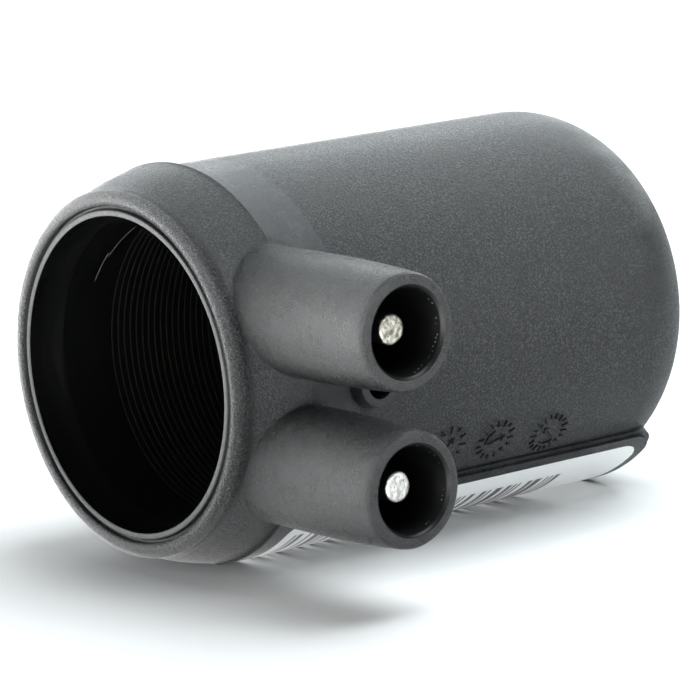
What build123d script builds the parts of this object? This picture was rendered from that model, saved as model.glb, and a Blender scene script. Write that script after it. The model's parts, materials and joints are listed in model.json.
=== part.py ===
"""Electrofusion coupler with a closed end, which fuses onto a 40 mm polyethylene pipe.

+X runs along the socket from its open mouth to the closed end, the two terminal shrouds
point along -Y and +Z is up. The origin is on the socket's axis, where the pipe stops.
Stations are distances behind the socket's mouth, reaches are distances from the axis
towards -Y, and everything is in millimetres.
"""

import os
from math import sqrt

from build123d import *

# Socket
pipe_radius = 20.0
pipe_clearance = 0.25
wall = 5.8
socket_depth = 50.0
lead_in_length = 4.6
lead_in_step = 0.45
lead_in_draft = 0.2
mouth_lip_width = 0.83
mouth_lip_rise = 0.15

# Closed end behind the pipe stop
stop_ledge = 3.95
stop_chamfer = 0.8
chamber_depth = 22.0
chamber_chamfer = 4.0
end_wall = 10.0
end_round = 12.3

# Collar and front rim
collar_height = 0.55
collar_end = 9.75
collar_chamfer = 0.15
rim_groove_width = 0.4
rim_groove_depth = 0.6
rim_groove_draft = 0.04
rim_crown = 0.42
rim_crown_width = 1.2
rim_bead_drop = 2.3
rim_bead_station = 0.5
rim_valley_drop = 2.5
rim_valley_station = 1.46
flare_knee_drop = 0.95
flare_knee_station = 5.6

# Heating coil, wound in the wall of the socket
coil_start = 12.1
coil_turns = 28
coil_pitch = 1.03
turns_per_ridge = 2
coil_thickness = 0.75
coil_groove = 0.35
coil_recess = 0.05
lead_radius = 0.4
lead_landing = 0.8
lead_sink = 0.075

# Terminal shrouds, one above the other
shroud_station = 8.65
shroud_spacing = 19.84
shroud_reach = 47.1
shroud_mouth_radius = 7.44
shroud_draft = 0.0463
shroud_root_reach = 14.0
shroud_edge = 0.45
terminal_bore_radius = 5.52
terminal_floor_rise = 2.05
terminal_bore_chamfer = 0.5

# Contact pins
pin_radius = 2.0
pin_recess = 3.05
pin_root_cover = 1.0
pin_root_radius = 1.8
pin_flange_radius = 3.2
pin_flange_thickness = 1.6
pin_flange_cover = 0.9
pin_shoulder_radius = 2.4
pin_shoulder_rise = 0.2
pin_chamfer = 0.25

# Fusion indicator
boss_station = 19.9
boss_height = -0.7
boss_reach = 28.0
boss_radius = 3.2
boss_draft = 0.18
boss_root_sink = 3.05
boss_edge = 0.25
indicator_bore_radius = 2.05
indicator_floor = 2.5
indicator_radius = 1.05
indicator_recess = 0.1
indicator_edge = 0.2

# Label pad along the underside, with a flat to lie on
pad_height = 0.81
pad_half_angle = 49.0
pad_end = 75.4
pad_corner = 4.0
pad_skirt = 3.5
underside_reach = 26.2

# Label in its shallow pocket
label_front_gap = 2.55
label_end = 73.9
label_half_width = 19.1
label_corner = 3.6
label_thickness = 0.13
label_sink = 0.02

# How far a cutting shape stands out past the surface that it cuts
cut_margin = 1.0

bore_radius = pipe_radius + pipe_clearance
body_radius = bore_radius + wall
collar_radius = body_radius + collar_height
mouth_radius = bore_radius + lead_in_step + lead_in_draft
lip_radius = mouth_radius + mouth_lip_width
chamber_radius = bore_radius - stop_ledge
overall_length = socket_depth + chamber_depth + end_wall
pad_radius = body_radius + pad_height
pin_tip_reach = shroud_reach - pin_recess
terminal_floor_reach = body_radius + terminal_floor_rise
coil_length = coil_turns * coil_pitch
ridge_count = coil_turns // turns_per_ridge
ridge_pitch = coil_length / ridge_count
coil_radius = bore_radius + coil_thickness
boss_floor_reach = coil_radius + indicator_floor
boss_root_reach = body_radius - boss_root_sink
pin_root_reach = coil_radius + pin_root_cover
label_front = collar_end + label_front_gap
label_length = label_end - label_front


def at(station):
    """X of a distance behind the socket's mouth."""
    return station - socket_depth


def turned(station, height, points, mode=Mode.ADD):
    """Turns a closed half profile of (radius, reach) points about a line along -Y."""
    x = at(station)
    with BuildSketch(Plane.XY.offset(height)) as half:
        with BuildLine():
            Polyline([(x + radius, -reach) for radius, reach in points], close=True)
        make_face()
    revolve(half.sketch, axis=Axis((x, 0, height), (0, 1, 0)), mode=mode)


def wire_lead(height, mode=Mode.ADD):
    """A straight lead from the inner end of the pin at this height to the coil's first turn."""
    start = Vector(at(shroud_station), -pin_root_reach - lead_radius, height)
    landing = -sqrt((coil_radius - lead_sink) ** 2 - height**2)
    end = Vector(at(coil_start + lead_landing), landing, height)
    along = Plane(origin=start, z_dir=end - start)
    with BuildSketch(along) as section:
        Circle(lead_radius)
    extrude(section.sketch, amount=(end - start).length, mode=mode)


def flattened_bar(radius, flat_reach, mode=Mode.ADD):
    """A round bar along the label's length, with a flat underneath."""
    with BuildSketch(Plane.YZ.offset(at(label_front))) as section:
        Circle(radius)
        with Locations((0, -flat_reach)):
            Rectangle(
                2 * radius,
                radius + flat_reach,
                align=(Align.CENTER, Align.MIN),
                mode=Mode.INTERSECT,
            )
    extrude(section.sketch, amount=label_length, mode=mode)


def label_outline(mode):
    """The label's rounded rectangle, carried through the underside."""
    with BuildSketch(Plane.XY.offset(-collar_radius - pad_height)) as outline:
        with Locations((at(label_front + label_length / 2), 0)):
            RectangleRounded(label_length, 2 * label_half_width, label_corner)
    extrude(outline.sketch, amount=collar_radius, mode=mode)


# Half profile of a pin: its root, anchoring flange, shoulder, shank and chamfered tip
pin_flange_reach = terminal_floor_reach - pin_flange_cover
pin_shoulder_reach = terminal_floor_reach + pin_shoulder_rise
pin_profile = [
    (0, pin_root_reach),
    (pin_root_radius, pin_root_reach),
    (pin_root_radius, pin_flange_reach - pin_flange_thickness),
    (pin_flange_radius, pin_flange_reach - pin_flange_thickness),
    (pin_flange_radius, pin_flange_reach),
    (pin_shoulder_radius, pin_flange_reach),
    (pin_shoulder_radius, pin_shoulder_reach),
    (pin_radius, pin_shoulder_reach),
    (pin_radius, pin_tip_reach - pin_chamfer),
    (pin_radius - pin_chamfer, pin_tip_reach),
    (0, pin_tip_reach),
]

terminal_bore_profile = [
    (0, terminal_floor_reach),
    (terminal_bore_radius, terminal_floor_reach),
    (terminal_bore_radius, shroud_reach - terminal_bore_chamfer),
    (terminal_bore_radius + terminal_bore_chamfer, shroud_reach),
    (terminal_bore_radius + terminal_bore_chamfer, shroud_reach + cut_margin),
    (0, shroud_reach + cut_margin),
]

shroud_profile = [
    (0, shroud_root_reach),
    (
        shroud_mouth_radius + shroud_draft * (shroud_reach - shroud_root_reach),
        shroud_root_reach,
    ),
    (shroud_mouth_radius + shroud_draft * shroud_edge, shroud_reach - shroud_edge),
    (shroud_mouth_radius - shroud_edge, shroud_reach),
    (0, shroud_reach),
]

boss_profile = [
    (0, boss_root_reach),
    (boss_radius + boss_draft * (boss_reach - boss_root_reach), boss_root_reach),
    (boss_radius, boss_reach - boss_edge),
    (boss_radius - boss_edge, boss_reach),
    (0, boss_reach),
]

indicator_bore_profile = [
    (0, boss_floor_reach),
    (indicator_bore_radius, boss_floor_reach),
    (indicator_bore_radius, boss_reach + cut_margin),
    (0, boss_reach + cut_margin),
]

indicator_top_reach = boss_reach - indicator_recess
indicator_profile = [
    (0, boss_floor_reach),
    (indicator_radius, boss_floor_reach),
    (indicator_radius, indicator_top_reach - indicator_edge),
    (indicator_radius - indicator_edge, indicator_top_reach),
    (0, indicator_top_reach),
]

shroud_heights = (shroud_spacing / 2, -shroud_spacing / 2)

# The raised pad that carries the label
with BuildPart() as pad_form:
    with BuildSketch(Plane.YZ.offset(at(collar_end) - collar_chamfer)):
        with BuildLine():
            outer = CenterArc(
                (0, 0), pad_radius, -90 - pad_half_angle, 2 * pad_half_angle
            )
            inner = CenterArc(
                (0, 0), pad_radius - pad_skirt, -90 - pad_half_angle, 2 * pad_half_angle
            )
            Line(outer @ 0, inner @ 0)
            Line(outer @ 1, inner @ 1)
        make_face()
    extrude(amount=pad_end - collar_end + collar_chamfer)
    end_face = pad_form.faces().sort_by(Axis.X)[-1]
    fillet(end_face.edges().filter_by(GeomType.LINE), radius=pad_corner)

# The label's pocket reaches out past the pad
with BuildPart() as label_pocket:
    flattened_bar(pad_radius + cut_margin, underside_reach + cut_margin)
    flattened_bar(
        pad_radius - label_thickness - label_sink,
        underside_reach - label_thickness - label_sink,
        Mode.SUBTRACT,
    )
    label_outline(Mode.INTERSECT)

# Body: one moulding
with BuildPart() as body:
    with BuildSketch(Plane.XZ):
        with BuildLine():
            lip_edge = (at(-mouth_lip_rise), lip_radius)
            groove_outer = lip_radius + rim_groove_width
            groove_floor = at(rim_groove_depth)
            bead_radius = collar_radius - rim_bead_drop
            valley_radius = collar_radius - rim_valley_drop
            flare_top = (at(collar_end - collar_chamfer), collar_radius)
            end_x = at(overall_length)
            round_start = (end_x - end_round, body_radius)
            round_end = (end_x, body_radius - end_round)
            Polyline(
                (at(0), 0),
                (at(0), mouth_radius),
                lip_edge,
                (groove_floor, lip_radius + rim_groove_draft),
                (groove_floor, groove_outer - rim_groove_draft),
                (at(-rim_crown), groove_outer + rim_groove_draft),
                (at(-rim_crown), groove_outer + rim_crown_width),
                (at(rim_bead_station), bead_radius),
                (at(rim_valley_station), valley_radius),
                (at(flare_knee_station), collar_radius - flare_knee_drop),
                flare_top,
                (at(collar_end), collar_radius - collar_chamfer),
                (at(collar_end), body_radius),
                round_start,
            )
            RadiusArc(round_start, round_end, end_round)
            Polyline(round_end, (end_x, 0), (at(0), 0))
        make_face()
    revolve(axis=Axis.X)
    add(pad_form.part)
    for height in shroud_heights:
        turned(shroud_station, height, shroud_profile)
    turned(boss_station, boss_height, boss_profile)

    # Socket, coil seat and the closed chamber behind the pipe stop
    with BuildSketch(Plane.XZ):
        with BuildLine():
            chamber_end = socket_depth + chamber_depth
            cut_start = at(-cut_margin)
            Polyline(
                (cut_start, 0),
                (cut_start, mouth_radius),
                (at(0), mouth_radius),
                (at(lead_in_length), bore_radius + lead_in_step),
                (at(lead_in_length + lead_in_step), bore_radius),
                (at(coil_start), bore_radius),
                (at(coil_start), coil_radius),
                (at(coil_start + coil_length), coil_radius),
                (at(coil_start + coil_length), bore_radius),
                (at(socket_depth), bore_radius),
                (at(socket_depth), chamber_radius + stop_chamfer),
                (at(socket_depth + stop_chamfer), chamber_radius),
                (at(chamber_end - chamber_chamfer), chamber_radius),
                (at(chamber_end), chamber_radius - chamber_chamfer),
                (at(chamber_end), 0),
                close=True,
            )
        make_face()
    revolve(axis=Axis.X, mode=Mode.SUBTRACT)
    for height in shroud_heights:
        turned(shroud_station, height, terminal_bore_profile, Mode.SUBTRACT)
        turned(shroud_station, height, pin_profile, Mode.SUBTRACT)
        wire_lead(height, Mode.SUBTRACT)
    turned(boss_station, boss_height, indicator_bore_profile, Mode.SUBTRACT)
    split(bisect_by=Plane.XY.offset(-underside_reach), keep=Keep.TOP)
    add(label_pocket.part, mode=Mode.SUBTRACT)
body.part.label = "body"

# Heating coil: one ridged winding, each ridge a few turns of wire, and its two leads
with BuildPart() as heating_coil:
    crest = bore_radius + coil_recess
    grooves = crest + coil_groove
    winding = [(at(coil_start), grooves)]
    for ridge in range(ridge_count):
        ridge_start = coil_start + ridge * ridge_pitch
        winding.append((at(ridge_start + ridge_pitch / 2), crest))
        winding.append((at(ridge_start + ridge_pitch), grooves))
    with BuildSketch(Plane.XZ):
        with BuildLine():
            winding.append((at(coil_start + coil_length), coil_radius))
            winding.append((at(coil_start), coil_radius))
            Polyline(winding, close=True)
        make_face()
    revolve(axis=Axis.X)
    for height in shroud_heights:
        wire_lead(height)
        turned(shroud_station, height, pin_profile, Mode.SUBTRACT)
heating_coil.part.label = "heating_coil"

# Contact pins
with BuildPart() as upper_contact_pin:
    turned(shroud_station, shroud_heights[0], pin_profile)
upper_contact_pin.part.label = "upper_contact_pin"

with BuildPart() as lower_contact_pin:
    turned(shroud_station, shroud_heights[1], pin_profile)
lower_contact_pin.part.label = "lower_contact_pin"

# Fusion indicator, standing on the floor of its bore
with BuildPart() as fusion_indicator:
    turned(boss_station, boss_height, indicator_profile)
fusion_indicator.part.label = "fusion_indicator"

# Label, set just below the pad's surface
with BuildPart() as label:
    flattened_bar(pad_radius - label_sink, underside_reach - label_sink)
    flattened_bar(
        pad_radius - label_thickness - label_sink,
        underside_reach - label_thickness - label_sink,
        Mode.SUBTRACT,
    )
    label_outline(Mode.INTERSECT)
label.part.label = "label"

os.makedirs("parts", exist_ok=True)
export_step(body.part, "parts/body.step")
export_step(heating_coil.part, "parts/heating_coil.step")
export_step(upper_contact_pin.part, "parts/upper_contact_pin.step")
export_step(lower_contact_pin.part, "parts/lower_contact_pin.step")
export_step(fusion_indicator.part, "parts/fusion_indicator.step")
export_step(label.part, "parts/label.step")
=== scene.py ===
"""Looks of the closed-end electrofusion coupler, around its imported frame.

The frame's origin is on the socket's axis at the pipe stop. +X runs from the mouth to the
closed end, the terminal shrouds point along -Y and +Z is up. Lengths are in metres.
Stations are distances behind the mouth, reaches are distances from the axis towards -Y.
"""

import json
import math

import bmesh
import bpy
from mathutils import Matrix, Vector, noise


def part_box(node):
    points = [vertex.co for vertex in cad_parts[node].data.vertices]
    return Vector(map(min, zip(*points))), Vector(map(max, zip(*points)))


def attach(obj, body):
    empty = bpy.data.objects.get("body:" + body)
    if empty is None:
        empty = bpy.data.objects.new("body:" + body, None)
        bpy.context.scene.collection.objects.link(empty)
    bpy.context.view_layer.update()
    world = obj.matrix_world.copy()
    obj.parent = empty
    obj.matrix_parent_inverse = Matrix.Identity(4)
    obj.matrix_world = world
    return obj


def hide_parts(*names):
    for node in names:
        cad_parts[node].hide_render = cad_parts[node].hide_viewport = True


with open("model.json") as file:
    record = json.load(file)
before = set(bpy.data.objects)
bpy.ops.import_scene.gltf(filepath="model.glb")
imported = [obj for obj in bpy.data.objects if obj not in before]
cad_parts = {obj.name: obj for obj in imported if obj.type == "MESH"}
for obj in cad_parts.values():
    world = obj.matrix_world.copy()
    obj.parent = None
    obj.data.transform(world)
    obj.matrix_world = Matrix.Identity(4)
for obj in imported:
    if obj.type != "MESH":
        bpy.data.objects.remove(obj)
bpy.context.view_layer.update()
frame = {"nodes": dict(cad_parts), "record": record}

MM = 0.001

# Sizes read from the frame
MOUNTS = {mount["name"]: mount for mount in frame["record"]["mounts"]}
BORE_RADIUS = MOUNTS["socket"]["dims"]["r_mm"] * MM
PIN_RADIUS = MOUNTS["upper_terminal"]["dims"]["r_mm"] * MM
TERMINAL_X = MOUNTS["upper_terminal"]["pos_m"][0]
TERMINAL_Z = MOUNTS["upper_terminal"]["pos_m"][2]
BODY_LOW, BODY_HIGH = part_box("body")
INDICATOR_LOW, INDICATOR_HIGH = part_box("fusion_indicator")
LABEL_LOW, LABEL_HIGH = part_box("label")
FLOOR_Z = BODY_LOW.z
END_X = BODY_HIGH.x
COLLAR_RADIUS = BODY_HIGH.y
SHROUD_REACH = -BODY_LOW.y
PIN_TIP_REACH = -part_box("upper_contact_pin")[0].y
INDICATOR_X = (INDICATOR_LOW.x + INDICATOR_HIGH.x) / 2
INDICATOR_Z = (INDICATOR_LOW.z + INDICATOR_HIGH.z) / 2

# Front rim, collar, sleeve and socket
RIM_CROWN = 0.42 * MM
MOUTH_X = BODY_LOW.x + RIM_CROWN
COLLAR_HEIGHT = 0.55 * MM
BODY_RADIUS = COLLAR_RADIUS - COLLAR_HEIGHT
COLLAR_LENGTH = 9.75 * MM
SMOOTH_BAND_END = 17.9 * MM
END_ROUND = 12.3 * MM
# Collar outline behind the rim: distance behind the mouth and drop below the collar's radius
FLARE = [(0.3, 2.32), (1.46, 2.38), (3.2, 1.72), (5.2, 1.02), (7.2, 0.48), (9.4, 0.02)]
LIP_INNER = 20.9 * MM
LIP_OUTER = 21.73 * MM
STOP_RADIUS = 16.3 * MM
CHAMBER_DEPTH = 22.0 * MM
LEAD_IN = 4.6 * MM

# Painted highlight arcs in the cold zone, light lines painted where reflections fall: angles from -Y in
# degrees, then distances behind the mouth in mm
PAINTED_HIGHLIGHT_ARCS = ((153.7, 138.7, 9.2, 9.8), (142.6, 122.5, 10.0, 11.4))

# Shrouds: reach and radius of the outline in mm, barrelled towards the root, and of its rounded mouth
SHROUD_OUTLINE = [(30, 8.14), (35, 8.08), (40, 7.9), (43.5, 7.7), (46.0, 7.5)]
SHROUD_MOUTH = [(46.6, 7.42), (46.95, 7.2), (47.06, 6.95), (47.1, 6.7)]
SHROUD_ROOT_RADIUS = 8.1 * MM
SHROUD_FLATTENING = 0.135
ROOT_FILLET = 0.9 * MM
# Reach at which a shroud's outline turns into its root, before the root is laid on the collar
ROOT_MARK = 20 * MM
ROOT_SINK = 1.5 * MM
SHROUD_FLAT_START = 24 * MM
WELL_RADIUS = 5.52 * MM
WELL_FLOOR = 28.1 * MM

# Indicator boss, label pad, label and dials
BOSS_ROOT = 23 * MM
BOSS_DRAFT = 0.8 * MM
BOSS_REACH = 28.0 * MM
BOSS_RADIUS = 3.2 * MM
BOSS_HOLE = 2.05 * MM
BOSS_FLOOR = 23.5 * MM
PAD_RADIUS = BODY_RADIUS + 0.81 * MM
PAD_HALF_ANGLE = math.radians(49)
PAD_END = 75.4 * MM
PAD_CORNER = 4.0 * MM
PAD_STEP = 0.42 * MM
PAD_SKIRT = 3.2 * MM
LABEL_CORNER = 3.6 * MM
LABEL_THICKNESS = 0.13 * MM
LABEL_SINK = 0.02 * MM
LABEL_HALF_TURN = math.asin(LABEL_HIGH.y / PAD_RADIUS)
DIAL_RADIUS = 3.3 * MM
DIAL_FOOT = 0.12 * MM
# Date dials: distance behind the mouth in mm, angle from -Y, number of marks and the pointer's angle
DIALS = ((34.9, -28.2, 12, 60), (43.7, -29.7, 15, 20), (53.6, -31.7, 18, 135))

# Winding and pins
WIRE_PITCH = 1.03 * MM
WIRE_RADIUS = 0.40 * MM
WIRE_TURNS = 28
WIRE_MIDDLE = BORE_RADIUS + 0.05 * MM + WIRE_RADIUS
COIL_SEAT = BORE_RADIUS + 0.11 * MM
COIL_START = MOUTH_X + 12.1 * MM
COIL_END = COIL_START + WIRE_TURNS * WIRE_PITCH
PIN_LENGTH = 16 * MM

# Steps of turned and bent forms
RING_STEPS = 224
SHROUD_STEPS = 128
BOSS_STEPS = 64
PIN_STEPS = 72
COIL_STEPS = 96
BEND_CUTS = 120
# How far a cutting form runs past the face that it cuts
OVERRUN = 1 * MM


def station(distance):
    """X of a distance behind the mouth."""
    return MOUTH_X + distance


# ---------------------------------------------------------------- finishes


class Field:
    """A number that changes over a surface. Arithmetic on it adds Math nodes."""

    def __init__(self, finish, socket):
        self.finish = finish
        self.socket = socket

    def _math(self, operation, first, second=None):
        values = {0: first}
        if second is not None:
            values[1] = second
        made = self.finish.node("ShaderNodeMath", {"operation": operation}, values)
        return Field(self.finish, made.outputs[0])

    def __add__(self, other):
        return self._math("ADD", self, other)

    __radd__ = __add__

    def __sub__(self, other):
        return self._math("SUBTRACT", self, other)

    def __rsub__(self, other):
        return self._math("SUBTRACT", other, self)

    def __mul__(self, other):
        return self._math("MULTIPLY", self, other)

    __rmul__ = __mul__

    def __truediv__(self, other):
        return self._math("DIVIDE", self, other)

    def __abs__(self):
        return self._math("ABSOLUTE", self)

    def rises(self, low, high):
        """0 below low, 1 above high, and a smooth rise between them."""
        settings = {"interpolation_type": "SMOOTHSTEP"}
        values = {"Value": self, "From Min": low, "From Max": high}
        made = self.finish.node("ShaderNodeMapRange", settings, values)
        return Field(self.finish, made.outputs[0])


class Shading:
    """A node tree under construction, on one kind of texture coordinates."""

    def __init__(self, tree, coordinates):
        self.tree = tree
        self.place = self.node("ShaderNodeTexCoord").outputs[coordinates]
        axes = self.node("ShaderNodeSeparateXYZ", {}, {0: self.place})
        self.x, self.y, self.z = (Field(self, socket) for socket in axes.outputs)

    def node(self, kind, settings=None, values=None):
        """Adds a node, with its settings first and then the values or links of its sockets."""
        made = self.tree.nodes.new(kind)
        for key, value in (settings or {}).items():
            setattr(made, key, value)
        for key, value in (values or {}).items():
            self.feed(made.inputs[key], value)
        return made

    def feed(self, socket, value):
        if isinstance(value, Field):
            value = value.socket
        if isinstance(value, bpy.types.NodeSocket):
            self.tree.links.new(value, socket)
        else:
            socket.default_value = value

    def noise(self, size, detail=2.0, stretch=(1, 1, 1), offset=(0, 0, 0), roughness=0.5):
        """Smooth noise whose features are about size across, in metres."""
        placed = self.node(
            "ShaderNodeMapping", {}, {"Vector": self.place, "Scale": stretch, "Location": offset}
        ).outputs[0]
        values = {"Vector": placed, "Scale": 1 / size, "Detail": detail, "Roughness": roughness}
        return Field(self, self.node("ShaderNodeTexNoise", {}, values).outputs[0])

    def cells(self, size, offset=(0, 0, 0)):
        """Distance to the nearest of scattered points, size apart."""
        placed = self.node(
            "ShaderNodeMapping", {}, {"Vector": self.place, "Location": offset}
        ).outputs[0]
        values = {"Vector": placed, "Scale": 1 / size}
        return Field(self, self.node("ShaderNodeTexVoronoi", {}, values).outputs["Distance"])

    def mix(self, share, first, second):
        """A colour between two colours."""
        made = self.node("ShaderNodeMix", {"data_type": "RGBA"}, {"Factor": share})
        self.feed(made.inputs[6], first)
        self.feed(made.inputs[7], second)
        return made.outputs[2]

    def ray(self, kind):
        """1 for rays of a kind, such as Camera or Glossy, and 0 for the others."""
        return Field(self, self.node("ShaderNodeLightPath").outputs[f"Is {kind} Ray"])


class Finish(Shading):
    """A material under construction, on its piece's own Object coordinates."""

    def __init__(self, name):
        self.material = bpy.data.materials.new(name)
        self.material.use_nodes = True
        super().__init__(self.material.node_tree, "Object")
        self.shader = self.tree.nodes["Principled BSDF"]

    def set(self, **sockets):
        for name, value in sockets.items():
            self.feed(self.shader.inputs[name.replace("_", " ")], value)
        return self

    def sheen(self, level):
        """Strength of the plain reflection, 0.5 for common plastic."""
        self.shader.inputs["Specular IOR Level"].default_value = level
        return self

    def bump(self, height, depth, strength=1.0):
        """Raises the surface by height times depth."""
        values = {"Height": height, "Distance": depth, "Strength": strength}
        self.feed(self.shader.inputs["Normal"], self.node("ShaderNodeBump", {}, values).outputs[0])
        return self


def grey(level, cool=0.0):
    """A grey, with a little blue in it where cool is above 0."""
    return (level * (1 - cool), level, level * (1 + cool), 1)


PLASTIC_SHEEN = 0.58
SOCKET_SHEEN = 0.30
WIRE_SHEEN = 0.14


def eroded_plastic():
    """Black polyethylene from a spark-eroded mould, smeared smoother near the closed end, with light
    specks painted in as glints.
    """
    finish = Finish("eroded_plastic")
    grain = finish.noise(0.29 * MM, detail=4, roughness=0.8)
    specks = finish.noise(0.26 * MM, detail=2, roughness=0.7, offset=(7, 3, 5))
    pits = finish.cells(0.38 * MM)
    drift = finish.noise(9 * MM, detail=3)
    rear = finish.x.rises(END_X - 22 * MM, END_X - 6 * MM)
    smears = finish.noise(7 * MM, detail=3, stretch=(0.4, 1, 1), offset=(3, 1, 2)).rises(0.40, 0.62)
    worn = rear * smears
    rim = 1 - finish.x.rises(station(0.9 * MM), station(2.4 * MM))
    # Light specks in the colour are painted highlights, the glints of the grain.
    painted_glints = specks.rises(0.45, 0.66) * (1 - 0.6 * worn)
    tone = drift * 0.15 + painted_glints * 0.85
    finish.set(
        Base_Color=finish.mix(tone, grey(0.001, 0.04), grey(0.104, 0.05)),
        Roughness=0.36 + 0.1 * (drift - 0.5) - 0.06 * worn - 0.08 * painted_glints - 0.14 * rim,
    )
    finish.sheen(PLASTIC_SHEEN)
    relief = (grain + 0.4 * pits) * (1 - 0.65 * worn - 0.2 * rear + 1.1 * rim)
    return finish.bump(relief, 0.30 * MM, 1.0).material


def shroud_plastic():
    """The shrouds' plastic, with a sandy bloom in soft patches, a few scuffs and light specks painted in
    as glints.
    """
    finish = Finish("shroud_plastic")
    grain = finish.noise(0.24 * MM, detail=4, roughness=0.8)
    specks = finish.noise(0.24 * MM, detail=2, roughness=0.7, offset=(2, 8, 4))
    patches = finish.noise(2.8 * MM, detail=3, offset=(4, 4, 9))
    scuffs = finish.noise(1.6 * MM, detail=4, roughness=0.7, offset=(9, 2, 6)).rises(0.66, 0.72)
    # Light specks in the colour are painted highlights, the glints of the grain.
    painted_glints = specks.rises(0.46, 0.66)
    tone = patches.rises(0.3, 0.7) * 0.25 + painted_glints * 0.65 + scuffs * 0.1
    finish.set(
        Base_Color=finish.mix(tone, grey(0.001, 0.03), grey(0.074, 0.04)),
        Roughness=0.29 + 0.20 * (patches - 0.5) - 0.06 * painted_glints - 0.08 * scuffs,
    )
    finish.sheen(PLASTIC_SHEEN)
    return finish.bump(grain + 0.6 * patches, 0.20 * MM, 1.0).material


def satin_plastic():
    """The same plastic off polished mould faces, with a fine bloom, wipe marks, scratches and light
    specks painted in as glints.
    """
    finish = Finish("satin_plastic")
    grain = finish.noise(0.20 * MM, detail=4, roughness=0.8)
    specks = finish.noise(0.21 * MM, detail=2, roughness=0.7, offset=(7, 3, 5))
    bloom = finish.noise(2.4 * MM, detail=3, offset=(5, 2, 1))
    wipes = finish.noise(3.2 * MM, detail=4, stretch=(1, 0.35, 0.5), offset=(2, 6, 1)).rises(0.5, 0.7)
    marks = finish.noise(0.9 * MM, detail=2, stretch=(0.2, 1, 0.12), offset=(1, 4, 3)).rises(0.68, 0.72)
    # Light specks in the colour are painted highlights, the glints of the grain.
    painted_glints = specks.rises(0.48, 0.66)
    tone = bloom * 0.25 + wipes * 0.2 + painted_glints * 0.5
    finish.set(
        Base_Color=finish.mix(tone, grey(0.004, 0.07), grey(0.078, 0.07)),
        Roughness=0.31 + 0.16 * (bloom - 0.5) - 0.05 * marks - 0.04 * wipes - 0.05 * painted_glints,
    )
    return finish.bump(grain + 0.5 * bloom + 0.1 * marks, 0.12 * MM, 1.0).material


def socket_plastic():
    """Smooth black plastic of the socket, wells, boss and dials, with two light arcs in the cold zone
    that are painted highlights.
    """
    finish = Finish("socket_plastic")
    turning = finish.noise(0.5 * MM, detail=2, stretch=(1, 0.08, 0.08))
    distance = (finish.x - MOUTH_X) / MM
    turn = finish.node("ShaderNodeMath", {"operation": "ARCTAN2"}, {0: finish.z, 1: -1 * finish.y})
    turn = Field(finish, turn.outputs[0]) * (180 / math.pi)
    # The arcs are painted highlights: light grey lines that stand in for reflections on the smooth bore.
    painted_highlight = 0.0
    for start, stop, first, last in PAINTED_HIGHLIGHT_ARCS:
        line = first + (turn - start) * ((last - first) / (stop - start))
        near = 1 - abs(distance - line).rises(0.03, 0.10)
        painted_highlight = painted_highlight + near * turn.rises(stop, stop + 2) * (1 - turn.rises(start - 2, start))
    front = 1 - distance.rises(0.4, LEAD_IN / MM)
    plain = finish.mix(turning, grey(0.004), grey(0.009))
    finish.set(
        Base_Color=finish.mix(painted_highlight, plain, grey(0.42)),
        Roughness=0.40 + 0.14 * (turning - 0.5) - 0.12 * front,
    )
    finish.sheen(SOCKET_SHEEN)
    return finish.bump(turning, 0.03 * MM, 0.4).material


def flash_painted_glint():
    """Torn edges of the same plastic, coloured light grey as painted glints."""
    finish = Finish("flash_painted_glint")
    patches = finish.noise(0.3 * MM, detail=2)
    # The light grey patches on black plastic are painted highlights, the glints of the torn edges.
    finish.set(Base_Color=finish.mix(patches, grey(0.08), grey(0.40)), Roughness=0.16 + 0.2 * patches)
    return finish.bump(patches, 0.05 * MM, 0.6).material


def coil_wire():
    """Resistance wire under a skin of the socket's black plastic."""
    finish = Finish("coil_wire")
    skin = finish.noise(2.4 * MM, detail=3)
    bare = skin.rises(0.50, 0.70)
    finish.set(
        Base_Color=finish.mix(bare, grey(0.020), (0.040, 0.026, 0.019, 1)),
        Roughness=0.40 + 0.2 * skin,
    )
    finish.sheen(WIRE_SHEEN)
    return finish.bump(skin, 0.03 * MM, 0.4).material


def contact_metal(name, low, high, offset):
    """Tinned contact metal, with a rough cropped end; the shank behind it is painted near black, painted
    shade deep in the well.
    """
    finish = Finish(name)
    mottle = finish.noise(0.55 * MM, detail=3, offset=offset)
    pits = finish.cells(0.6 * MM, offset=offset).rises(0.06, 0.22)
    end = (-1 * finish.y).rises(PIN_TIP_REACH - 0.35 * MM, PIN_TIP_REACH - 0.1 * MM)
    face = finish.mix(mottle.rises(0.35, 0.62), low, high)
    # Behind the end the colour is near black: painted shade on the shank inside the well.
    finish.set(
        Base_Color=finish.mix(end, grey(0.012), finish.mix(pits, grey(0.12), face)),
        Roughness=0.34 + 0.3 * mottle,
        Metallic=0.2 + 0.75 * end,
    )
    return finish.bump(mottle + 0.5 * pits, 0.10 * MM, 0.7).material


def indicator_plastic():
    """The indicator pin's own black plastic, a shade lighter than the body."""
    finish = Finish("indicator_plastic")
    grain = finish.noise(0.3 * MM, detail=2)
    finish.set(Base_Color=finish.mix(grain, grey(0.035), grey(0.055)), Roughness=0.42 + 0.1 * grain)
    return finish.bump(grain, 0.03 * MM, 0.5).material


# Bars on the label: first and last place behind the mouth, and how far below its upper edge they stop
BARS_START = 14.2 * MM
BARS_END = 61.5 * MM
BARS_DROP = 2.8 * MM
BAR_WIDTHS = (1, 2, 1, 3, 1, 1, 2, 2, 1, 3, 2, 1, 1, 2, 3, 1)
BAR_UNIT = 0.42 * MM
BAR_BLUR = 0.03 * MM


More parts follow.
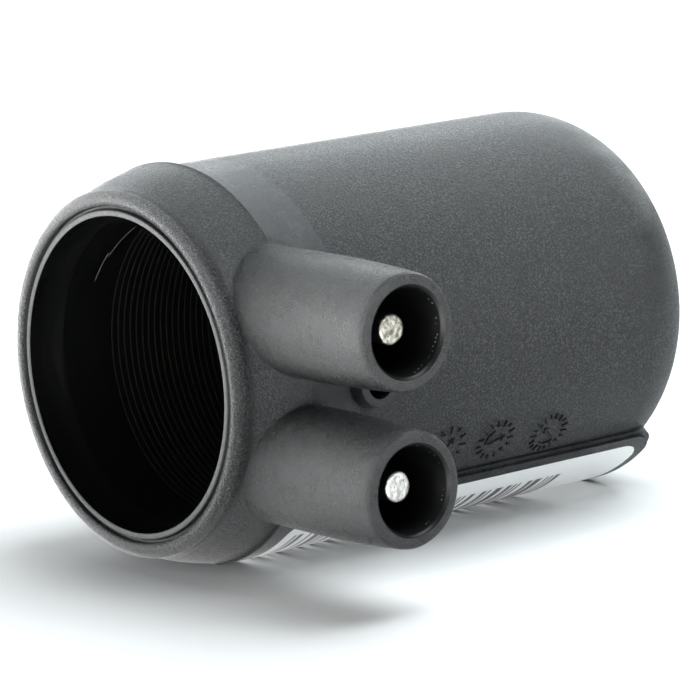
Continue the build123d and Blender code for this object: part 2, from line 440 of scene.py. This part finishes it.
def label_film():
    """White film with plain bars across it and a clear margin."""
    finish = Finish("label_film")
    along = finish.x - station(BARS_START)
    period = 2 * sum(BAR_WIDTHS) * BAR_UNIT
    phase = finish.node("ShaderNodeMath", {"operation": "MODULO"}, {0: along, 1: period})
    phase = Field(finish, phase.outputs[0])
    inked = 0.0
    edge = 0.0
    for number, width in enumerate(BAR_WIDTHS):
        stop = edge + width * BAR_UNIT
        starts = phase.rises(edge - BAR_BLUR, edge + BAR_BLUR)
        stops = phase.rises(stop - BAR_BLUR, stop + BAR_BLUR)
        inked = starts - stops + inked
        edge = stop + BAR_WIDTHS[-1 - number] * BAR_UNIT
    row = BARS_END - BARS_START
    inside = along.rises(0, 0.05 * MM) * (1 - along.rises(row, row + 0.05 * MM))
    top = LABEL_HIGH.z - BARS_DROP
    low_enough = 1 - finish.z.rises(top - 0.1 * MM, top)
    ink = inked * inside * low_enough
    fibre = finish.noise(1.2 * MM, detail=2)
    white = finish.mix(fibre, (0.79, 0.81, 0.815, 1), (0.84, 0.855, 0.86, 1))
    finish.set(
        Base_Color=finish.mix(ink, white, (0.12, 0.125, 0.13, 1)),
        Roughness=0.34 + 0.08 * fibre,
    )
    return finish.bump(fibre, 0.01 * MM, 0.3).material


# ---------------------------------------------------------------- mesh tools


def arc(centre, radius, start, stop, steps):
    """Points on an arc in a half profile, between two angles in degrees."""
    points = []
    for step in range(steps + 1):
        angle = math.radians(start + (stop - start) * step / steps)
        points.append((centre[0] + radius * math.cos(angle), centre[1] + radius * math.sin(angle)))
    return points


def eased(points, radius, steps=4):
    """An open polyline of (along, out) points with each inner corner rounded off."""
    result = [points[0]]
    for before, corner, after in zip(points, points[1:], points[2:]):
        corner_v, before_v, after_v = (Vector((*p, 0)) for p in (corner, before, after))
        to_before, to_after = before_v - corner_v, after_v - corner_v
        reach = min(radius, 0.45 * to_before.length, 0.45 * to_after.length)
        first = corner_v + to_before.normalized() * reach
        last = corner_v + to_after.normalized() * reach
        for step in range(steps + 1):
            share = step / steps
            point = first.lerp(corner_v, share).lerp(corner_v.lerp(last, share), share)
            result.append((point.x, point.y))
    result.append(points[-1])
    return result


def lathe(points, centre, axis, out, steps, closed=True):
    """Spins a half profile of (along, out) points about an axis through centre."""
    work = bmesh.new()
    axis, out, centre = Vector(axis), Vector(out), Vector(centre)
    ring = [work.verts.new(centre + axis * along + out * away) for along, away in points]
    edges = [work.edges.new(pair) for pair in zip(ring, ring[1:])]
    if closed:
        edges.append(work.edges.new((ring[-1], ring[0])))
    bmesh.ops.spin(
        work, geom=ring + edges, cent=centre, axis=axis, angle=2 * math.pi, steps=steps,
        use_merge=True, use_duplicate=False,
    )
    bmesh.ops.remove_doubles(work, verts=work.verts, dist=2e-7)
    bmesh.ops.dissolve_degenerate(work, edges=work.edges, dist=1e-7)
    bmesh.ops.recalc_face_normals(work, faces=work.faces)
    return work


def finished(work, name, materials, smooth_angle=32):
    """A finished object from a bmesh, smooth shaded up to an angle between faces."""
    mesh = bpy.data.meshes.new(name)
    work.to_mesh(mesh)
    work.free()
    for material in materials:
        mesh.materials.append(material)
    mesh.shade_smooth()
    mesh.set_sharp_from_angle(angle=math.radians(smooth_angle))
    made = bpy.data.objects.new(name, mesh)
    bpy.context.scene.collection.objects.link(made)
    return made


def carve(base, joined, cuts):
    """Joins solids to base and then cuts others out of it, and drops them all."""
    steps = [(solid, "UNION") for solid in joined] + [(solid, "DIFFERENCE") for solid in cuts]
    for solid, operation in steps:
        modifier = base.modifiers.new(solid.name, "BOOLEAN")
        modifier.operation = operation
        modifier.solver = "EXACT"
        modifier.object = solid
    bpy.context.view_layer.update()
    evaluated = base.evaluated_get(bpy.context.evaluated_depsgraph_get())
    mesh = bpy.data.meshes.new_from_object(evaluated)
    base.modifiers.clear()
    base.data = mesh
    for solid, _ in steps:
        bpy.data.objects.remove(solid)


def close_slivers(solid):
    """Joins points closer than a few micrometres and fills the slits that carving leaves."""
    work = bmesh.new()
    work.from_mesh(solid.data)
    bmesh.ops.remove_doubles(work, verts=work.verts, dist=0.004 * MM)
    bmesh.ops.holes_fill(work, edges=[edge for edge in work.edges if edge.is_boundary], sides=0)
    work.to_mesh(solid.data)
    work.free()


# ---------------------------------------------------------------- body

ERODED, SATIN, SOCKET, SHROUD = range(4)


def sleeve_profile():
    """Half profile of the sleeve's outside, from the axis at the mouth round to the end."""
    s = station
    groove_outer = LIP_OUTER + 0.4 * MM
    rim = eased(
        [
            (s(0), LIP_INNER),
            (s(-0.12 * MM), LIP_INNER + 0.22 * MM),
            (s(-0.08 * MM), LIP_OUTER - 0.12 * MM),
            (s(0.22 * MM), LIP_OUTER),
            (s(0.6 * MM), LIP_OUTER + 0.05 * MM),
            (s(0.6 * MM), groove_outer),
            (s(-0.25 * MM), groove_outer + 0.12 * MM),
            (s(-RIM_CROWN), groove_outer + 0.55 * MM),
            (s(-RIM_CROWN * 0.9), groove_outer + 1.3 * MM),
            *((s(distance * MM), COLLAR_RADIUS - drop * MM) for distance, drop in FLARE),
            (s(COLLAR_LENGTH - 0.16 * MM), COLLAR_RADIUS + 0.12 * MM),
            (s(COLLAR_LENGTH - 0.02 * MM), COLLAR_RADIUS - 0.02 * MM),
            (s(COLLAR_LENGTH), COLLAR_RADIUS - 0.12 * MM),
            (s(COLLAR_LENGTH), BODY_RADIUS),
            (s(SMOOTH_BAND_END), BODY_RADIUS),
        ],
        0.9 * MM,
    )
    end = arc((END_X - END_ROUND, BODY_RADIUS - END_ROUND), END_ROUND, 90, 0, 20)
    return [(s(0), 0)] + rim + end + [(END_X, 0)]


def sleeve_radius(x):
    """Radius of the collar or sleeve at a place along it."""
    distance = (x - MOUTH_X) / MM
    if distance > COLLAR_LENGTH / MM:
        return BODY_RADIUS
    before = FLARE[0]
    for after in FLARE:
        if distance < after[0]:
            share = (distance - before[0]) / (after[0] - before[0] or 1)
            return COLLAR_RADIUS - (before[1] + share * (after[1] - before[1])) * MM
        before = after
    return COLLAR_RADIUS


def paint_sleeve(work):
    """Gives the sleeve's faces their finish by where they lie."""
    for face in work.faces:
        place = face.calc_center_median()
        distance = place.x - MOUTH_X
        out = math.hypot(place.y, place.z)
        on_band = COLLAR_LENGTH < distance < SMOOTH_BAND_END
        on_lip = out < LIP_OUTER + 0.5 * MM and distance < COLLAR_LENGTH
        on_edge = abs(distance - COLLAR_LENGTH) < 0.2 * MM
        face.material_index = SATIN if on_band or on_lip or on_edge else ERODED
    return work


def paint(work, index):
    """Gives all faces one finish."""
    for face in work.faces:
        face.material_index = index
    return work


def turned_solid(x, z, points, index, name, materials, steps=SHROUD_STEPS):
    """A solid turned about a line along -Y, from a half profile of (reach, radius) points."""
    work = lathe(points, (x, 0, z), (0, -1, 0), (1, 0, 0), steps, closed=False)
    return finished(paint(work, index), name, materials)


def shroud_solid(height, materials):
    """A terminal shroud, flattened front and back at its root and blended into the collar."""
    root = [(ROOT_MARK - ROOT_SINK, SHROUD_ROOT_RADIUS + MM)]
    for step in range(9):
        share = step / 8
        spread = 1 - math.sqrt(1 - (1 - share) ** 2)
        root.append((ROOT_MARK + share * MM, SHROUD_ROOT_RADIUS + spread * MM))
    outline = [(reach * MM, radius * MM) for reach, radius in SHROUD_OUTLINE + SHROUD_MOUTH]
    points = [(root[0][0], 0)] + root + outline + [(SHROUD_REACH, 0)]
    work = lathe(points, (TERMINAL_X, 0, height), (0, -1, 0), (1, 0, 0), SHROUD_STEPS, closed=False)
    for face in work.faces:
        at_root = -face.calc_center_median().y < ROOT_MARK + 0.99 * MM
        face.material_index = ERODED if at_root else SHROUD
    for vert in work.verts:
        reach = -vert.co.y
        away = Vector((vert.co.x - TERMINAL_X, vert.co.z - height))
        out = away.length
        if out < 0.1 * MM:
            continue
        away = away / out
        share = min(1, max(0, (SHROUD_REACH - reach) / (SHROUD_REACH - SHROUD_FLAT_START)))
        squeeze = 1 - SHROUD_FLATTENING * share * away.x**2
        above_root = reach > ROOT_MARK + 1.5 * MM
        if above_root:
            out *= squeeze
        else:
            fillet = ROOT_FILLET * (0.35 + 0.65 * away.y**2)
            out = SHROUD_ROOT_RADIUS * squeeze + (out - SHROUD_ROOT_RADIUS) / MM * fillet
        vert.co.x = TERMINAL_X + away.x * out
        vert.co.z = height + away.y * out
        if not above_root:
            surface = math.sqrt(max(0, sleeve_radius(vert.co.x) ** 2 - vert.co.z**2))
            vert.co.y = -surface - (reach - ROOT_MARK) / MM * fillet
    return finished(work, "shroud_form", materials)


def bent_sheet(low, high, half_arc, corner, outer, inner, flat=None, front_corners=True):
    """A rounded sheet from low to high, bent round the underside between two radii."""
    work = bmesh.new()
    length, middle = high - low, (low + high) / 2
    bmesh.ops.create_grid(work, x_segments=1, y_segments=1, size=0.5)
    bmesh.ops.scale(work, vec=(length, 2 * half_arc, 1), verts=work.verts)
    rounded = [vert for vert in work.verts if front_corners or vert.co.x > 0]
    bmesh.ops.bevel(
        work, geom=rounded, offset=corner, offset_type="OFFSET", segments=10,
        profile=0.5, affect="VERTICES", material=-1, clamp_overlap=True,
    )
    for cut in range(1, BEND_CUTS):
        line = half_arc * (2 * cut / BEND_CUTS - 1)
        geometry = list(work.verts) + list(work.edges) + list(work.faces)
        bmesh.ops.bisect_plane(work, geom=geometry, plane_co=(0, line, 0), plane_no=(0, 1, 0), dist=1e-8)
    geometry = bmesh.ops.extrude_face_region(work, geom=list(work.faces))["geom"]
    top = {item for item in geometry if isinstance(item, bmesh.types.BMVert)}
    for vert in work.verts:
        out = outer if vert in top else inner
        turn = vert.co.y / outer
        drop = out * math.cos(turn)
        if flat is not None:
            drop = min(drop, flat - (outer - out))
        vert.co = Vector((vert.co.x + middle, out * math.sin(turn), -drop))
    bmesh.ops.recalc_face_normals(work, faces=work.faces)
    return work


def pad_solid(margin, materials):
    """One step of the raised label pad, whose rear corners are rounded."""
    low, high = station(COLLAR_LENGTH) - 0.3 * MM - margin, station(PAD_END) + 0.5 * margin
    outer = PAD_RADIUS - margin
    half_arc = PAD_HALF_ANGLE * PAD_RADIUS + margin
    work = bent_sheet(low, high, half_arc, PAD_CORNER, outer, outer - PAD_SKIRT, front_corners=False)
    return finished(paint(work, SATIN), "pad_form", materials)


def body_piece(materials):
    """The moulded body: forms joined to the sleeve, then wells, socket and label pocket cut out."""
    sleeve = finished(
        paint_sleeve(
            lathe(sleeve_profile(), (0, 0, 0), (1, 0, 0), (0, 0, 1), RING_STEPS, closed=False)
        ),
        "coupler_body",
        materials,
    )
    boss = eased(
        [
            (BOSS_ROOT, 0),
            (BOSS_ROOT, BOSS_RADIUS + BOSS_DRAFT),
            (BOSS_REACH, BOSS_RADIUS),
            (BOSS_REACH, 0),
        ],
        0.25 * MM,
        3,
    )
    joined = [shroud_solid(side * TERMINAL_Z, materials) for side in (1, -1)]
    joined.append(turned_solid(INDICATOR_X, INDICATOR_Z, boss, SATIN, "boss_form", materials, BOSS_STEPS))
    joined += [pad_solid(margin, materials) for margin in (0, PAD_STEP)]
    well = [
        (WELL_FLOOR, 0),
        (WELL_FLOOR, WELL_RADIUS),
        (SHROUD_REACH - 0.55 * MM, WELL_RADIUS),
        (SHROUD_REACH - 0.2 * MM, WELL_RADIUS + 0.18 * MM),
        (SHROUD_REACH + 0.02 * MM, WELL_RADIUS + 0.5 * MM),
        (SHROUD_REACH + OVERRUN, WELL_RADIUS + 0.5 * MM),
        (SHROUD_REACH + OVERRUN, 0),
    ]
    cuts = [
        turned_solid(TERMINAL_X, side * TERMINAL_Z, well, SOCKET, "well_form", materials)
        for side in (1, -1)
    ]
    hole = [
        (BOSS_FLOOR, 0),
        (BOSS_FLOOR, BOSS_HOLE),
        (BOSS_REACH + OVERRUN, BOSS_HOLE),
        (BOSS_REACH + OVERRUN, 0),
    ]
    cuts.append(
        turned_solid(INDICATOR_X, INDICATOR_Z, hole, SOCKET, "hole_form", materials, BOSS_STEPS)
    )
    s = station
    socket = [
        (s(-OVERRUN), 0),
        (s(-OVERRUN), LIP_INNER),
        (s(0), LIP_INNER),
        (s(LEAD_IN), BORE_RADIUS + 0.10 * MM),
        (s(LEAD_IN + 0.35 * MM), BORE_RADIUS + 0.02 * MM),
        (s(LEAD_IN + 0.7 * MM), BORE_RADIUS),
        (COIL_START, BORE_RADIUS),
        (COIL_START, COIL_SEAT),
        (COIL_END, COIL_SEAT),
        (COIL_END, BORE_RADIUS),
        (0, BORE_RADIUS),
        (0, STOP_RADIUS + 0.8 * MM),
        (0.8 * MM, STOP_RADIUS),
        (CHAMBER_DEPTH - 4 * MM, STOP_RADIUS),
        (CHAMBER_DEPTH, STOP_RADIUS - 4 * MM),
        (CHAMBER_DEPTH, 0),
    ]
    cuts.append(finished(
        paint(lathe(socket, (0, 0, 0), (1, 0, 0), (0, 0, 1), RING_STEPS, closed=False), SOCKET),
        "socket_form",
        materials,
    ))
    slab = bmesh.new()
    bmesh.ops.create_cube(slab, size=1)
    bmesh.ops.scale(slab, vec=(0.2, 0.2, 0.02), verts=slab.verts)
    bmesh.ops.translate(slab, vec=(0, 0, FLOOR_Z - 0.01), verts=slab.verts)
    cuts.append(finished(paint(slab, SATIN), "underside_form", materials))
    pocket_out = PAD_RADIUS + OVERRUN
    pocket_depth = OVERRUN + LABEL_THICKNESS + LABEL_SINK
    pocket = bent_sheet(
        LABEL_LOW.x, LABEL_HIGH.x, LABEL_HALF_TURN * pocket_out, LABEL_CORNER, pocket_out,
        pocket_out - pocket_depth, flat=-FLOOR_Z + OVERRUN,
    )
    cuts.append(finished(paint(pocket, SATIN), "pocket_form", materials))
    carve(sleeve, joined, cuts)
    close_slivers(sleeve)
    sleeve.data.shade_smooth()
    sleeve.data.set_sharp_from_angle(angle=math.radians(32))
    sleeve.name = "coupler_body"
    return sleeve


# ---------------------------------------------------------------- smaller pieces


def coil_piece(material):
    """The winding: a helix of wire lying in the socket's wall."""
    start_x = COIL_START + WIRE_RADIUS
    work = bmesh.new()
    section = bmesh.ops.create_circle(
        work, segments=8, radius=WIRE_RADIUS, cap_ends=False,
        matrix=Matrix.Translation((start_x, 0, WIRE_MIDDLE)) @ Matrix.Rotation(math.pi / 2, 4, "X"),
    )["verts"]
    edges = list({edge for vert in section for edge in vert.link_edges})
    bmesh.ops.spin(
        work, geom=section + edges, cent=(0, 0, 0), axis=(1, 0, 0),
        angle=2 * math.pi * (WIRE_TURNS - 1), steps=COIL_STEPS * (WIRE_TURNS - 1),
        dvec=(WIRE_PITCH / COIL_STEPS, 0, 0), use_merge=False, use_duplicate=False,
    )
    bmesh.ops.holes_fill(work, edges=[e for e in work.edges if len(e.link_faces) == 1], sides=8)
    bmesh.ops.recalc_face_normals(work, faces=work.faces)
    return finished(work, "heating_wire", [material], 60)


def pin_piece(name, z, material, seed):
    """A contact pin with a rough, slightly uneven end."""
    end = [
        (PIN_TIP_REACH - PIN_LENGTH, 0),
        (PIN_TIP_REACH - PIN_LENGTH, PIN_RADIUS),
        (PIN_TIP_REACH - 0.3 * MM, PIN_RADIUS),
        (PIN_TIP_REACH - 0.09 * MM, PIN_RADIUS - 0.08 * MM),
        (PIN_TIP_REACH, PIN_RADIUS - 0.26 * MM),
    ]
    end += [(PIN_TIP_REACH, (PIN_RADIUS - 0.26 * MM) * (1 - ring / 8)) for ring in range(1, 9)]
    work = lathe(end, (TERMINAL_X, 0, z), (0, -1, 0), (1, 0, 0), PIN_STEPS, closed=False)
    for vert in work.verts:
        if -vert.co.y > PIN_TIP_REACH - 0.4 * MM:
            rough = noise.noise(vert.co / (0.7 * MM) + Vector((seed, seed, seed)))
            vert.co.y += (0.07 * rough + 0.06) * MM
            away = Vector((vert.co.x - TERMINAL_X, 0, vert.co.z - z))
            if away.length > 0.8 * PIN_RADIUS:
                squeeze = 1 - 0.05 * max(0, noise.noise(away / (1.6 * MM) + Vector((seed, 0, seed))))
                vert.co.x = TERMINAL_X + away.x * squeeze
                vert.co.z = z + away.z * squeeze
    return finished(work, name, [material], 50)


def label_piece(material):
    """The label: a sheet with rounded corners, bent round the pad and flat underneath."""
    outer = PAD_RADIUS - LABEL_SINK
    work = bent_sheet(
        LABEL_LOW.x, LABEL_HIGH.x, LABEL_HALF_TURN * outer, LABEL_CORNER, outer,
        outer - LABEL_THICKNESS, flat=-FLOOR_Z - LABEL_SINK,
    )
    return finished(work, "label_sheet", [material], 40)


def on_sleeve(work, distance, degrees, foot):
    """Wraps a flat relief, drawn in X and Y and raised in Z, round the sleeve."""
    centre = math.radians(degrees)
    for vert in work.verts:
        out = BODY_RADIUS + vert.co.z - foot
        turn = centre + vert.co.y / BODY_RADIUS
        vert.co = Vector((station(distance) + vert.co.x, -out * math.cos(turn), out * math.sin(turn)))
    bmesh.ops.recalc_face_normals(work, faces=work.faces)


def stroke(work, start, end, width, height):
    """A raised bar between two places on a flat ground."""
    start, end = Vector((*start, 0)), Vector((*end, 0))
    along = end - start
    place = (
        Matrix.Translation((start + end) / 2 + Vector((0, 0, height / 2)))
        @ Matrix.Rotation(math.atan2(along.y, along.x), 4, "Z")
        @ Matrix.Diagonal((along.length, width, height, 1))
    )
    bmesh.ops.create_cube(work, size=1, matrix=place)


def dial_piece(name, distance, degrees, marks, pointer, materials):
    """A moulded date dial: marks around a pointer and a short arc, with numbers left out."""
    work = bmesh.new()
    height = 0.30 * MM
    width = 0.14 * MM

    def spot(share, turn):
        """A place on the dial, at a share of its radius."""
        return Vector((math.cos(turn), math.sin(turn))) * DIAL_RADIUS * share

    for mark in range(marks):
        turn = 2 * math.pi * mark / marks
        inner, half_turn = ((0.66, 0.0), (0.74, 0.10), (0.80, 0.06))[mark % 3]
        stroke(work, spot(inner, turn), spot(0.97, turn + 0.5 * half_turn), width, height)
        if half_turn:
            stroke(work, spot(inner, turn - half_turn), spot(inner, turn + half_turn), width, height)
    ahead = math.radians(pointer)
    for step in range(7):
        first = ahead + 1.6 + 0.2 * step
        stroke(work, spot(0.52, first), spot(0.52, first + 0.22), width, height)
    stroke(work, spot(-0.42, ahead), spot(0.46, ahead), width, height)
    for side in (-1, 1):
        stroke(work, spot(0.46, ahead), spot(0.27, ahead + 0.6 * side), width, height)
    on_sleeve(work, distance, degrees, DIAL_FOOT)
    return finished(work, name, materials)


# Vector noise changes from run to run unless it is seeded
FLASH_SEED = 5


def flash_piece(name, height, seed, material):
    """Torn moulding flash on the inner edge of a shroud's mouth, on its far side."""
    noise.seed_set(FLASH_SEED)
    work = bmesh.new()
    crumbs = 26
    for number in range(crumbs):
        roll = noise.noise_vector(Vector((number * 1.7 + seed, seed, 3.1)))
        turn = math.radians(-75 + 150 * (number + 0.8 * roll.x) / crumbs)
        out = WELL_RADIUS + 0.10 * MM + 0.12 * roll.y * MM
        reach = SHROUD_REACH - (0.75 + 0.9 * abs(roll.z)) * MM
        size = (0.09 + 0.13 * abs(roll.x)) * MM
        across, up = out * math.cos(turn), out * math.sin(turn)
        place = Matrix.Translation((TERMINAL_X + across, -reach, height + up))
        stretch = Matrix.Diagonal((0.7, 1 + abs(roll.y), 1.3, 1))
        bmesh.ops.create_icosphere(work, subdivisions=2, radius=size, matrix=place @ stretch)
    for vert in work.verts:
        vert.co += 0.05 * MM * noise.noise_vector(vert.co / (0.2 * MM))
    return finished(work, name, [material], 25)


# ---------------------------------------------------------------- assembly

eroded = eroded_plastic()
satin = satin_plastic()
socket = socket_plastic()
# Two copies of one contact metal: the upper pin's is darker, painted shade, and the lower pin's is
# lighter, painted light, on two identical pins.
metals = (
    contact_metal("contact_metal_painted_shade", (0.20, 0.19, 0.16, 1), (0.50, 0.49, 0.43, 1), (2, 2, 2)),
    contact_metal("contact_metal_painted_light", (0.60, 0.60, 0.57, 1), (0.82, 0.82, 0.79, 1), (5, 1, 3)),
)

body = body_piece([eroded, satin, socket, shroud_plastic()])
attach(body, "root")
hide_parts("body")

coil = coil_piece(coil_wire())
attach(coil, "root")
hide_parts("heating_coil")

for number, (side, height) in enumerate((("upper", TERMINAL_Z), ("lower", -TERMINAL_Z))):
    pin = pin_piece(f"{side}_pin_end", height, metals[number], 3 + 5 * number)
    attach(pin, "root")
    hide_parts(f"{side}_contact_pin")

for number, (distance, degrees, marks, pointer) in enumerate(DIALS):
    dial = dial_piece(f"date_dial_{number + 1}", distance * MM, degrees, marks, pointer, [socket])
    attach(dial, "root")

painted_glint_flash = flash_painted_glint()
for number, height in enumerate((TERMINAL_Z, -TERMINAL_Z)):
    flash = flash_piece(f"mouth_flash_{number + 1}", height, 2.3 + 4.1 * number, painted_glint_flash)
    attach(flash, "root")

sheet = label_piece(label_film())
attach(sheet, "root")
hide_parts("label")

indicator = frame["nodes"]["fusion_indicator"]
indicator.data.materials.clear()
indicator.data.materials.append(indicator_plastic())

# ---------------------------------------------------------------- floor, light and camera

# Strength of the surroundings, and the brightness of pure white in the picture
FILL = 0.05
CLEAR_WHITE = 1.06
# Floor: its own light as seen directly, on matt faces and in reflections, and its grey in reflections
FLOOR_LIFT = 0.22
FLOOR_BOUNCE = 0.36
FLOOR_GLOW = 8.6
FLOOR_MIRRORED = 0.62
FLOOR_SHEEN = 0.1
# Half length and half width of the deep shadow under the body
SHADOW_LENGTH = 0.05
SHADOW_WIDTH = 0.03


def floor_finish():
    """Pale floor that keeps the shadows and glows in reflections at the rear left and front left."""
    finish = Finish("pale_floor")
    base = finish.mix(finish.ray("Glossy"), grey(0.9), grey(FLOOR_MIRRORED))
    finish.set(Base_Color=base, Roughness=0.9)
    finish.sheen(FLOOR_SHEEN)
    rear = (0.77 * finish.y - 0.64 * finish.x).rises(-0.01, 0.14)
    front = (-0.77 * finish.x - 0.64 * finish.y).rises(0.06, 0.16)
    lit = 0.9 * rear + 0.9 * front
    along = finish.x / SHADOW_LENGTH
    across = finish.y / SHADOW_WIDTH
    lift = (along * along + across * across).rises(0.3, 1.8)
    glow = (
        finish.ray("Camera") * lift * (FLOOR_LIFT / FLOOR_GLOW)
        + finish.ray("Glossy") * lit
        + finish.ray("Diffuse") * (FLOOR_BOUNCE / FLOOR_GLOW)
    )
    finish.set(Emission_Color=finish.mix(glow, (0, 0, 0, 1), (1, 1, 1, 1)))
    finish.shader.inputs["Emission Strength"].default_value = FLOOR_GLOW
    return finish.material


work = bmesh.new()
bmesh.ops.create_grid(work, x_segments=1, y_segments=1, size=3)
bmesh.ops.translate(work, vec=(0, 0, FLOOR_Z), verts=work.verts)
floor = finished(work, "studio_floor", [floor_finish()])

world = bpy.data.worlds.new("studio")
bpy.context.scene.world = world
world.use_nodes = True
sky = Shading(world.node_tree, "Generated")
low = 1 - sky.z.rises(0.16, 0.52)
rear_left = (0.77 * sky.y - 0.64 * sky.x).rises(0.35, 0.9)
mirrored = 0.10 + low * (0.7 + 4.0 * rear_left)
glossy = sky.ray("Glossy")
background = sky.tree.nodes["Background"]
background.inputs["Color"].default_value = (0.95, 0.99, 1, 1)
seen = sky.ray("Camera") * (CLEAR_WHITE - FILL)
sky.feed(background.inputs["Strength"], FILL + glossy * (mirrored - FILL) + seen)


def soft_light(name, place, target, size, power):
    """A rectangular soft light that faces a target."""
    lamp = bpy.data.lights.new(name, "AREA")
    lamp.shape = "RECTANGLE"
    lamp.size, lamp.size_y = size
    lamp.energy = power
    lamp.color = (0.91, 0.98, 1.0)
    holder = bpy.data.objects.new(name, lamp)
    holder.location = place
    holder.rotation_euler = (Vector(target) - Vector(place)).to_track_quat("-Z", "Y").to_euler()
    bpy.context.scene.collection.objects.link(holder)


soft_light("overhead_box", (0.26, -0.12, 0.80), (0, 0, 0), (0.7, 0.6), 9.0)
soft_light("rear_right_box", (0.60, 0.56, 0.44), (0, 0, 0), (1.1, 0.7), 4.9)
soft_light("left_box", (-0.75, -0.30, 0.30), (0, 0, 0), (0.8, 0.6), 1.2)
soft_light("front_fill", (0.35, -0.85, 0.14), (0, 0, 0), (0.9, 0.24), 0.3)

CAMERA_FOCAL = 220.5
CAMERA_AZIMUTH = math.radians(-39.93)
CAMERA_ELEVATION = math.radians(13.86)
CAMERA_DISTANCE = 0.5809
CAMERA_AIM = Vector((station(38.17 * MM), 0, -2.65 * MM))
LEAN = math.radians(3.77)

back = Vector((
    math.sin(CAMERA_AZIMUTH) * math.cos(CAMERA_ELEVATION),
    -math.cos(CAMERA_AZIMUTH) * math.cos(CAMERA_ELEVATION),
    math.sin(CAMERA_ELEVATION),
))
right = Vector((0, 0, 1)).cross(back).normalized()
up = back.cross(right)
turn = Matrix((right, up, back)).transposed().to_4x4()
camera = bpy.data.objects.new("camera", bpy.data.cameras.new("camera"))
camera.data.lens = CAMERA_FOCAL
camera.data.sensor_width = 36
camera.data.clip_start = 0.01
camera.matrix_world = (
    Matrix.Rotation(LEAN, 4, "X") @ Matrix.Translation(CAMERA_AIM + back * CAMERA_DISTANCE) @ turn
)
bpy.context.scene.collection.objects.link(camera)
bpy.context.scene.camera = camera
bpy.context.scene.view_settings.view_transform = "Standard"
